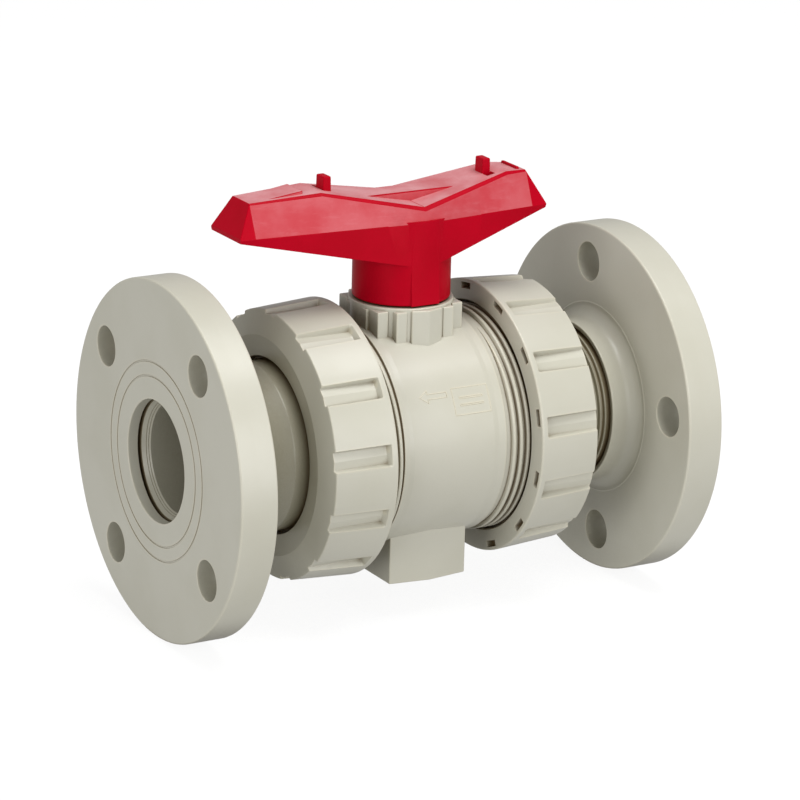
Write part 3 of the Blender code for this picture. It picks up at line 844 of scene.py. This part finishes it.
def union_nut(side):
    start, flute_angle = NUT_PLACES[side]
    first, pocket_turn = own_angle(side, flute_angle), POCKET_TURN[side]
    nut = spin_outline(f"union_nut_{side}_moulding", nut_outline(start), nut_columns(first, pocket_turn))
    sizes = {"First angle": first, "Start": start * MM, "Floor radius": FLUTE_FLOOR_R * MM,
             "Flute width": FLUTE_WIDTH * MM, "Flute start": 3.5 * MM, "Wall": WALL_SLOPE * MM,
             "Pocket turn": pocket_turn, "Pocket radius": POCKET_R * MM, "Pocket width": POCKET_WIDTH * MM,
             "Pocket height": POCKET_HEIGHT * MM, "Pocket depth": POCKET_DEPTH * MM}
    nut = turn_out(tidy(grow(nut, FLUTED, SHELL, **sizes)), side)
    gap_middle = MALE_START + PITCH / 2
    turns_in = int((start + 1.9 - gap_middle) / PITCH) + 1
    inner = thread(f"female_thread_{side}", side, NUT_THREAD_R, gap_middle + turns_in * PITCH, 2.0, -1.0)
    nut = join(f"nut_moulding_{side}", nut, inner)
    return finish_piece(nut, f"nut_{side}", "shell", SHELL, f"union_nut_{side}")


for side in SIDES:
    union_nut(side)

# %% [markdown]
# ## Flanges
#
# A flange is a thick disc with a hub that slides over the connector. Its front has a raised-looking field
# bounded by two fine grooves. Everything but the drilled field is spun. The drilled field is two flat plates
# and four rounded hole walls, which a tree places round the bolt circle, so the plates stay flat and the
# edges of the holes are soft.


# %% The drilled plate tree
def drilled_tree():
    tree, wire = geometry_tree("drilled_plates", ["Inner radius", "Outer radius", "Hole edge radius",
                                                  "Circle radius", "First angle", "Front", "Back"])

    def circle(steps, radius):
        return tree.wire("GeometryNodeCurvePrimitiveCircle", Resolution=steps, Radius=radius)

    turn = tree.vector(z=wire["First angle"] * (pi / 180))
    bolts = tree.wire("GeometryNodeTransform", circle(4, wire["Circle radius"]), Rotation=turn)
    walls = tree.wire("GeometryNodeInstanceOnPoints", bolts, Instance=wire["Geometry"])
    edge = circle(48, wire["Hole edge radius"])
    edges = tree.wire("GeometryNodeInstanceOnPoints", bolts, Instance=edge)
    edges = tree.wire("GeometryNodeRealizeInstances", edges)
    outlines = [circle(192, wire["Inner radius"]), circle(192, wire["Outer radius"]), edges]
    joined = tree.wire("GeometryNodeJoinGeometry", outlines)
    plate = tree.wire("GeometryNodeFillCurve", joined)
    plates = []
    for level in ("Front", "Back"):
        lift = tree.vector(z=wire[level])
        plates.append(tree.wire("GeometryNodeTransform", plate, Translation=lift))
    whole = tree.wire("GeometryNodeJoinGeometry", [*plates, walls])
    return close_tree(tree, whole, wire["Material"])


DRILLED = drilled_tree()

# %% Flange sizes
FLANGE_FACE, FLANGE_BACK, FLANGE_R = 120.2, 102.8, 80.0
PLATE_IN, PLATE_OUT = 48.0, 78.0
HOLE_R, HOLE_EDGE, BOLT_CIRCLE_R = 9.0, 0.7, 62.5
HUB_END, HUB_R, SOCKET_R = 90.2, 37.0, 33.5
FACE_BORE_R, FACE_BORE_END = 27.2, 115.2
PARTING_AT = 111.45          # a fine line round the rim
BOLT_ANGLE = {"left": 38.3, "right": 82.9}


def groove(radius, width=0.9, depth=0.5):
    """Four corners of a fine groove in the front face, from its outer side inwards."""
    return [(radius + width / 2, FLANGE_FACE, 0.15), (radius + width / 2 - 0.05, FLANGE_FACE - depth, 0.15),
            (radius - width / 2 + 0.05, FLANGE_FACE - depth, 0.15), (radius - width / 2, FLANGE_FACE, 0.15)]


def flange(side):
    middle = [(PLATE_IN, FLANGE_FACE, 0), *groove(43.9), *groove(37.5), (FACE_BORE_R, FLANGE_FACE, 0.5),
              (FACE_BORE_R, FACE_BORE_END, 0.3), (SOCKET_R, FACE_BORE_END, 0.2), (SOCKET_R, 91.9, 0.4),
              (35.2, HUB_END, 0.3), (HUB_R, HUB_END, 0.6)]
    middle += [(r, h, 0) for r, h in arc(6.0, 180, 96, 9, (43.0, 96.8))]
    middle += [(43.6, 102.62, 0.2), (44.1, FLANGE_BACK, 0.2), (PLATE_IN, FLANGE_BACK, 0)]
    rim = [(PLATE_OUT, FLANGE_BACK, 0), (FLANGE_R, FLANGE_BACK, 0.9), (FLANGE_R, PARTING_AT - 0.25, 0),
           (FLANGE_R - 0.07, PARTING_AT, 0), (FLANGE_R, PARTING_AT + 0.25, 0), (FLANGE_R, FLANGE_FACE, 0.9),
           (PLATE_OUT, FLANGE_FACE, 0)]
    edge_r = HOLE_R + HOLE_EDGE
    wall = [(edge_r, FLANGE_FACE, 0), (HOLE_R, FLANGE_FACE, HOLE_EDGE), (HOLE_R, FLANGE_BACK, HOLE_EDGE),
            (edge_r, FLANGE_BACK, 0)]
    pieces = [spin_outline(name, rounded(outline), closed=False)
              for name, outline in (("middle", middle), ("rim", rim))]
    drilled = spin_outline("drilled", rounded(wall), 48, closed=False)
    sizes = {"Inner radius": PLATE_IN * MM, "Outer radius": PLATE_OUT * MM, "Hole edge radius": edge_r * MM,
             "Circle radius": BOLT_CIRCLE_R * MM, "First angle": own_angle(side, BOLT_ANGLE[side]),
             "Front": FLANGE_FACE * MM, "Back": FLANGE_BACK * MM}
    grow(drilled, DRILLED, SHELL, **sizes)
    disc = tidy(join(f"flange_disc_{side}", *pieces, drilled))
    return finish_piece(turn_out(disc, side), f"end_{side}", "shell", SHELL, f"flange_{side}")


for side in SIDES:
    flange(side)

# %% [markdown]
# ## End connectors
#
# Each connector is a tube with a collar that the nut pulls against the body. Two fine beads show between the
# nut and the flange. The far end is bored out as a short cone, with two tool lines.


# %% Connectors
BORE_R, CONE_R, CONE_START = 24.5, 27.0, 110.3
TUBE_R, TUBE_START, TUBE_END = 33.2, 81.0, 113.6
NECK_R, COLLAR_R, COLLAR_AT, COLLAR_END = 37.6, 49.2, 55.8, 61.6


def bead(height, radius=34.5):
    """Four corners of a fine raised ring on the tube."""
    return [(TUBE_R, height - 0.9, 0.1), (radius, height - 0.45, 0.35), (radius, height + 0.45, 0.35),
            (TUBE_R, height + 0.9, 0.1)]


def tool_line(share, depth=0.14):
    """A fine groove across the end cone, at a share of the way in."""
    outer, inner = Vector((CONE_R, TUBE_END)), Vector((BORE_R, CONE_START))
    along = (inner - outer).normalized()
    into = Vector((-along.y, along.x)) * -depth
    at = outer.lerp(inner, share)
    return [(*(at - along * 0.16), 0), (*(at - into), 0), (*(at + along * 0.16), 0)]


def connector(side):
    outline = [(BORE_R, COLLAR_AT, 0.3), (BORE_R, CONE_START, 0.15), *tool_line(0.78)[::-1],
               *tool_line(0.52)[::-1], (CONE_R, TUBE_END, 0.2), (TUBE_R, TUBE_END, 0.5), *bead(88.1)[::-1],
               *bead(85.5)[::-1], (TUBE_R, TUBE_START, 1.5), (NECK_R, 72.0, 1.5), (NECK_R, COLLAR_END, 0.8),
               (COLLAR_R, COLLAR_END, 0.5), (COLLAR_R, COLLAR_AT, 0.5)]
    tube = turned(f"connector_tube_{side}", rounded(outline), side, 160)
    # The connectors take the plastic with more painted shade.
    return finish_piece(tube, f"end_{side}", "shell", SHELL_MORE_PAINTED_SHADE, f"end_connector_{side}")


for side in SIDES:
    connector(side)

# %% [markdown]
# ## Inside the valve
#
# The bored ball turns between two seats. The left seat sits in the body, the right one in a screwed carrier
# with two slots, which the lugs on the handle fit as a spanner. Rubber rings seal the joints.

# %% Ball, seats and carrier
BALL_R = 38.5
SEAT_OUTER_R, SEAT_LIP_R, SEAT_BACK = 35.0, 33.0, 33.0
CARRIER_R, CARRIER_END = 45.0, 55.2


def bored_ball():
    edge = asin(BORE_R / BALL_R) * 180 / pi
    outline = [(r, h, 0) for r, h in arc(BALL_R, -90 + edge, 90 - edge, 48)]
    outline[0], outline[-1] = (*outline[0][:2], 0.5), (*outline[-1][:2], 0.5)
    ball = turned("bored_ball", rounded(outline), "right")
    slot = block("drive_slot", (-4.7, -45.0, 31.9), (4.7, 45.0, 45.0), bevel=0.3)
    combine(ball, "DIFFERENCE", slot)
    return finish_piece(ball, "ball", "shell", SHELL, "ball")


def seat(side):
    sphere = BALL_R + 0.3
    low, high = (asin(r / sphere) * 180 / pi for r in (BODY_BORE_R, SEAT_LIP_R))
    face = [(r, h, 0) for r, h in arc(sphere, 90 - high, 90 - low, 12)]
    outline = [(BODY_BORE_R, SEAT_BACK, 0.3), (SEAT_OUTER_R, SEAT_BACK, 0.3), (SEAT_OUTER_R, face[0][1], 0.3),
               *face]
    cup = turned(f"seat_cup_{side}", rounded(outline), side)
    return finish_piece(cup, "valve_body", "seat", SEAT, f"seat_{side}")


def carrier():
    seat_side = [(BODY_BORE_R, SEAT_DEPTH), *ring_slot(SEAT_DEPTH, 36.6), (35.3, SEAT_DEPTH), (35.3, 21.0),
                 (39.9, 21.0), (39.9, 33.6)]
    outside = [(CARRIER_R, 33.6), (CARRIER_R, 39.7), (42.0, 39.7), (42.0, 43.3), (CARRIER_R, 43.3),
               (CARRIER_R, CARRIER_END)]
    face_side = [*ring_slot(CARRIER_END, 51.9)[::-1], (BODY_BORE_R, CARRIER_END)]
    corners = seat_side + outside + face_side
    ring = turned("carrier_ring", rounded(corners, 0.2), "right")
    slots = [block("slot", (50.2, -4.0, low), (60.0, 4.0, low + 13.0), bevel=0.3) for low in (-50.5, 37.5)]
    combine(ring, "DIFFERENCE", *slots)
    return finish_piece(ring, "valve_body", "shell", SHELL, "seat_carrier")


bored_ball()
for side in SIDES:
    seat(side)
carrier()


# %% Rings and washer
RING_R = 31.0                # middle of the rings beside the waterway
STEM_RINGS = {"lower": 48.6, "upper": 54.6}
STEM_R, STEM_COLLAR_R = 11.8, 14.0


def rubber_ring(name, body, radius, height, section, side, node):
    """A rubber ring, given by its middle radius, its height and the width of its section."""
    ring = spin_outline(name, arc(section / 2, 0, 345, 23, (radius, height)), 128)
    if side:
        turn_out(ring, side)
    return finish_piece(ring, body, "seal", RUBBER, node)


for side, face in (("left", BODY_END), ("right", BODY_END - 0.3)):
    rubber_ring(f"face_seal_{side}", "valve_body", RING_R, face - 1.65, 2.85, side, f"face_ring_{side}")
    rubber_ring(f"seat_spring_{side}", "valve_body", RING_R, 34.95, 3.0, side, f"seat_ring_{side}")
rubber_ring("carrier_seal", "valve_body", 43.8, 41.5, 2.7, "right", "seat_carrier_ring")
for place, height in STEM_RINGS.items():
    rubber_ring(f"stem_seal_{place}", "stem", 10.8, height, 2.3, None, f"stem_ring_{place}")
washer = [(12.1, 42.7), (STEM_COLLAR_R, 42.7), (STEM_COLLAR_R, 44.2), (12.1, 44.2)]
washer = spin_outline("thrust_washer", rounded(washer, 0.2), 96)
finish_piece(washer, "stem", "seat", SEAT, "stem_washer")

# %% [markdown]
# The stem is turned, with two ring grooves and a collar that keeps it in the body. Its square drives from the
# handle, and its tang fits the slot of the ball.


# %% The stem
def stem():
    slot_r, half_slot = 9.5, 1.45
    corners = [(0, 60.0, 0), (STEM_R, 60.0, 0.5)]
    for height in reversed(STEM_RINGS.values()):
        low, high = height - half_slot, height + half_slot
        corners += [(STEM_R, high), (slot_r, high), (slot_r, low), (STEM_R, low)]
    corners += [(STEM_R, 42.4), (STEM_COLLAR_R, 42.4), (STEM_COLLAR_R, 39.0), (0, 39.0, 0)]
    turned = spin_outline("drive_stem", rounded(corners, 0.2), 96)
    square = block("square", (-8.0, -8.0, 59.0), (8.0, 8.0, 77.5), bevel=0.8)
    tang = block("tang", (-4.4, -11.5, 32.2), (4.4, 11.5, 40.0), bevel=0.4)
    combine(turned, "UNION", square, tang)
    return finish_piece(turned, "stem", "shell", SHELL, "stem")


stem()

# %% [markdown]
# ## The handle
#
# Two unequal arms meet in a shallow valley over a round hub. Each has a parting line at its widest, a crest
# above, a keel below, and is open underneath. A loft through a few cross-sections gives these flat faces, and
# a bevel rounds all their edges at once. Textured faces are marked first, so the bevel comes out glossy.

# %% The arms
PARTING_Z, KEEL_Z = 98.0, 79.0
MIDDLE_Y, TIP_Y, TIP_KEEL = 20.6, 14.0, (13.4, 96.5)
TIP = {-1: -87.4, 1: 65.4}
KEEL_HALF = 7.0
# Upper edge of the side faces, and the edge of the top face, as x, then (y, z) and (y, z)
VALLEY_TO_PEAK = [(0.0, (19.9, 103.3), (18.4, 104.7)), (46.5, (10.7, 112.8), (9.6, 113.9))]
TIP_EDGES = ((13.9, 98.3), (13.4, 98.6))
CREST = {-1: [*VALLEY_TO_PEAK, (80.4, (8.2, 111.7), (7.6, 112.2)), (87.4, *TIP_EDGES)],
         1: [*VALLEY_TO_PEAK, (57.6, (8.4, 112.6), (7.6, 113.2)), (65.4, *TIP_EDGES)]}


def between(first, second, share):
    """The point at a share of the way from one point to another."""
    return tuple(a + (b - a) * share for a, b in zip(first, second))


def crest_at(sign, reach):
    """Both edges of the crest bevel at a distance out along an arm."""
    for (x0, low0, high0), (x1, low1, high1) in zip(CREST[sign], CREST[sign][1:]):
        if x0 <= reach <= x1:
            share = (reach - x0) / (x1 - x0)
            return between(low0, low1, share), between(high0, high1, share)


def arm_section(sign, reach):
    """A closed cross-section of an arm: keel, parting line and crest, then the same on the far side."""
    far = abs(TIP[sign])
    keel = between((MIDDLE_Y, KEEL_Z), TIP_KEEL, max(0.0, (reach - KEEL_HALF) / (far - KEEL_HALF)))
    parting = (MIDDLE_Y + (TIP_Y - MIDDLE_Y) * reach / far, PARTING_Z)
    half = [keel, parting, *crest_at(sign, reach)]
    return [(sign * reach, y, z) for y, z in half] + [(sign * reach, -y, z) for y, z in reversed(half)]


def reaches(sign):
    """Distances out along an arm: its corners, and steps between them to keep twisted faces smooth."""
    corners = [0.0, KEEL_HALF] + [x for x, _, _ in CREST[sign][1:]]
    steps = []
    for low, high in zip(corners, corners[1:]):
        count = max(1, round((high - low) / 6.0))
        steps += [low + (high - low) * k / count for k in range(count)]
    return steps + [corners[-1]]


def loft(name, sections, textured):
    """Joins cross-sections by faces. The numbered strips get the second finish, except at both tips."""
    shape = bmesh.new()
    rings = [[shape.verts.new(Vector(p) * MM) for p in ring] for ring in sections]
    count = len(rings[0])
    spans = list(zip(rings, rings[1:]))
    for span, (before, after) in enumerate(spans):
        strips = textured if 0 < span < len(spans) - 1 else ()
        for k in range(count):
            corner = (k + 1) % count
            face = shape.faces.new((before[k], before[corner], after[corner], after[k]))
            face.material_index = 1 if k in strips else 0
    for end in (rings[0], rings[-1]):
        shape.faces.new(end)
    bmesh.ops.recalc_face_normals(shape, faces=shape.faces)
    return close_mesh(name, shape)


def red_piece(name, mesh, bevel=0.45):
    """An object with both red finishes and glossy bevels."""
    piece = add_object(name, mesh)
    for finish in (RED, RED_TEXTURED):
        mesh.materials.append(finish)
    return round_edges(piece, bevel, radians(17), material=0)


def red_hull(name, corners, textured=False, bevel=0.45):
    """A convex block in red, all in one finish but for its glossy bevels."""
    core = hull(name, corners, bevel=0)
    mesh = core.data.copy()
    remove(core)
    for face in mesh.polygons:
        face.material_index = 1 if textured else 0
    return red_piece(name, mesh, bevel)


sections = [arm_section(-1, reach) for reach in reversed(reaches(-1))]
sections += [arm_section(1, reach) for reach in reaches(1)[1:]]
handle = red_piece("two_arm_handle", loft("arms", sections, textured=(1, 3, 5)))
print("arms:", len(handle.data.polygons), "faces")

# %% Hub, bridge, lugs and hollows
BRIDGE = ((-22.5, -6.2, PARTING_Z), (22.5, 6.2, 109.0))
LUG_AT, LUG_FOOT, LUG_TOP = 40.1, 107.0, 119.0
HUB_BOTTOM, HUB_TOP, HANDLE_HUB_R = 61.2, 99.0, 21.8
SQUARE_ROOM = 8.3            # half the width of the hole for the stem's square

hub = [(0, HUB_TOP, 0), (HANDLE_HUB_R, HUB_TOP, 0), (HANDLE_HUB_R, HUB_BOTTOM, 0.6), (0, HUB_BOTTOM, 0)]
hub = spin_outline("hub", rounded(hub), 160)
for finish in (RED, RED_TEXTURED):
    hub.data.materials.append(finish)
band = red_hull("band", [(x, y * side, z) for x in (-KEEL_HALF, KEEL_HALF) for side in (-1, 1)
                         for y, z in ((21.9, HUB_BOTTOM), (19.6, 97.0))], bevel=0.3)
additions = [hub, band, red_hull("bridge", box_corners(*BRIDGE), textured=True, bevel=0.5)]
for sign in (-1, 1):
    lug = [(sign * LUG_AT + dx, y, LUG_FOOT) for dx in (-2.1, 2.1) for y in (-3.7, 3.7)]
    lug += [(sign * LUG_AT + dx, y, LUG_TOP) for dx in (-1.9, 1.9) for y in (-3.5, 3.5)]
    additions.append(red_hull("lug", lug, bevel=0.7))
wedge = [(-71.0, y, 112.6) for y in (-6.0, 6.4)]
wedge += [(-54.0, y, z) for y in (-6.8, 7.2) for z in (112.0, 114.9)]
additions.append(red_hull("tip_wedge", wedge, textured=True, bevel=0.3))
additions.append(red_hull("tip_bar", box_corners((53.6, -6.4, 112.0), (55.2, 6.8, 114.5)), bevel=0.5))
combine(handle, "UNION", *additions)

cuts = []
for sign, (top_x, top_z) in ((-1, (80.4, 112.2)), (1, (57.6, 113.2))):
    corners = [(abs(TIP[sign]) - 8.8, 10.0, 84.0), (25.8, 14.2, 69.0), (top_x - 6.0, 3.8, top_z - 6.0),
               (46.5, 6.0, 107.9), (25.8, 11.0, 100.6)]
    cuts.append(hull("hollow", [(sign * x, y * far, z) for x, y, z in corners for far in (-1, 1)], bevel=1.0))
    notch = box_corners((LUG_AT - 2.1, 3.6, 110.4), (LUG_AT + 2.1, 7.6, 118.0))
    cuts.append(hull("notch", [(sign * x, -sign * y, z) for x, y, z in notch], bevel=0.2))
socket_corners = [(x * SQUARE_ROOM, y * SQUARE_ROOM, z) for x in (-1, 1) for y in (-1, 1) for z in (55.0, 78.1)]
cuts.append(hull("socket", socket_corners, bevel=0.3))
for cut in cuts:
    cut.data.materials.append(RED)
combine(handle, "DIFFERENCE", *cuts)
finish_piece(handle, "handle", "handle", None, "handle")

# %% [markdown]
# ## Floor, light and camera
#
# A pale floor, a white surround and three large soft lights make the plain look of a catalogue. The floor sits
# under the flanges. It is mostly clear and the surround looks brighter to the camera than it shines, so the
# background stays white while the valve keeps its shading. The camera is far away with a long lens, as for a
# product, so that parallel edges stay nearly parallel.

# %% Floor
floor_mesh = bpy.data.meshes.new("floor")
FLOOR_HALF, FLOOR_Z = 3.0, -0.0803
floor_corners = [(x * FLOOR_HALF, y * FLOOR_HALF, FLOOR_Z) for x, y in ((-1, -1), (1, -1), (1, 1), (-1, 1))]
floor_mesh.from_pydata(floor_corners, [], [(0, 1, 2, 3)])
floor = add_object("floor", floor_mesh)
paper, _, paper_shader, _ = new_material("paper_sweep")
for name, value in (("Base Color", (0.9, 0.9, 0.9, 1.0)), ("Alpha", 0.2), ("Roughness", 0.9),
                    ("Emission Color", (1.0, 1.0, 1.0, 1.0)), ("Emission Strength", 0.5)):
    paper_shader.inputs[name].default_value = value
floor_mesh.materials.append(paper)
floor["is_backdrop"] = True
print("floor at", FLOOR_Z, "m")

# %% Light
world = bpy.data.worlds.new("studio")
bpy.context.scene.world = world
world.use_nodes = True
surround = world.node_tree.nodes["Background"]
surround.inputs["Color"].default_value = (1.0, 1.0, 1.0, 1.0)
FILL, BACKDROP = 0.34, 1.0   # how strongly the surround shines, and how bright it looks
world_tree = Tree(world.node_tree)
seen = world_tree.add("ShaderNodeLightPath").wire("Is Camera Ray")
strength = FILL + seen * (BACKDROP - FILL)
world.node_tree.links.new(strength.socket, surround.inputs["Strength"])


def soft_light(name, place, size, power):
    """A square area light that faces the valve from a place in metres."""
    lamp = bpy.data.lights.new(name, "AREA")
    lamp.shape = "SQUARE"
    lamp.size = size
    lamp.energy = power
    light = add_object(name, lamp)
    light.location = place
    light.rotation_euler = Vector(place).to_track_quat("Z", "Y").to_euler()


soft_light("front_light", (0.25, -1.5, 0.4), 1.1, 10.5)
soft_light("left_light", (-1.5, -0.6, 0.3), 1.0, 9.5)
soft_light("top_light", (0.2, -0.35, 1.5), 1.0, 16.0)

# %% Camera
CAMERA_AT = Vector((-0.8611, -1.4771, 0.5440))
CAMERA_AZIMUTH, CAMERA_DROP, CAMERA_ROLL = radians(30.27), radians(17.29), radians(1.5)
lens = bpy.data.cameras.new("camera")
lens.lens = 181.2
lens.sensor_width = 36.0
lens.clip_end = 50.0
camera = add_object("camera", lens)
forward = Vector((sin(CAMERA_AZIMUTH) * cos(CAMERA_DROP), cos(CAMERA_AZIMUTH) * cos(CAMERA_DROP),
                  -sin(CAMERA_DROP)))
level = forward.cross(Vector((0, 0, 1))).normalized()
right = level * cos(CAMERA_ROLL) + level.cross(forward) * sin(CAMERA_ROLL)
axes = Matrix((right, right.cross(forward), -forward)).transposed()
camera.matrix_world = Matrix.Translation(CAMERA_AT) @ axes.to_4x4()
bpy.context.scene.camera = camera
bpy.context.scene.view_settings.view_transform = "Standard"
print("lens", lens.lens, "mm")

# %% Sizes, and the end
[[list(corner) for corner in box] for box in (cad_box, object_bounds())]
